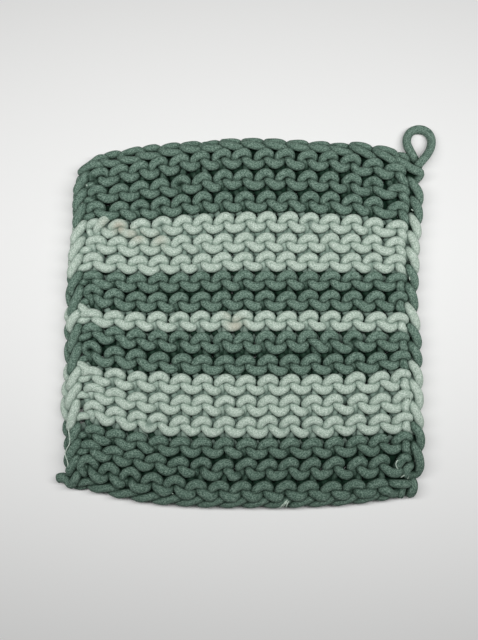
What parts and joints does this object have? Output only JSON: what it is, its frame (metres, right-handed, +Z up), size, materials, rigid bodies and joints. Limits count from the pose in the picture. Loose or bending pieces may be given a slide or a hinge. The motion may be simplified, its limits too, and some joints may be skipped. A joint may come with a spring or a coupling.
{
  "type": "knitted pot holder",
  "caption": "Square pot holder, hand-knitted in garter stitch from thick cotton cord in green and pale sage stripes, with a hanging loop at a corner; keeps hot pans off hands and tables.",
  "frame": {"origin": "on the surface the pot holder lies on, under the middle of its outline with the loop and tails", "axes": "+Z up out of the front face, +Y from the cast-on edge to the bind-off edge, across the ridges, +X along the ridges towards the side with the hanging loop"},
  "size_m": [0.2202, 0.2228, 0.0114],
  "materials": {
    "green_cord": "matt heathered green cotton cord, soft and slightly fuzzy",
    "sage_cord": "matt heathered pale sage cotton cord, soft and slightly fuzzy"
  },
  "bodies": {
    "root": {"knitted_panel": "green_cord", "hanging_loop": "green_cord", "cast_on_tail": "green_cord", "bind_in_tail": "green_cord"}
  },
  "joints": []
}
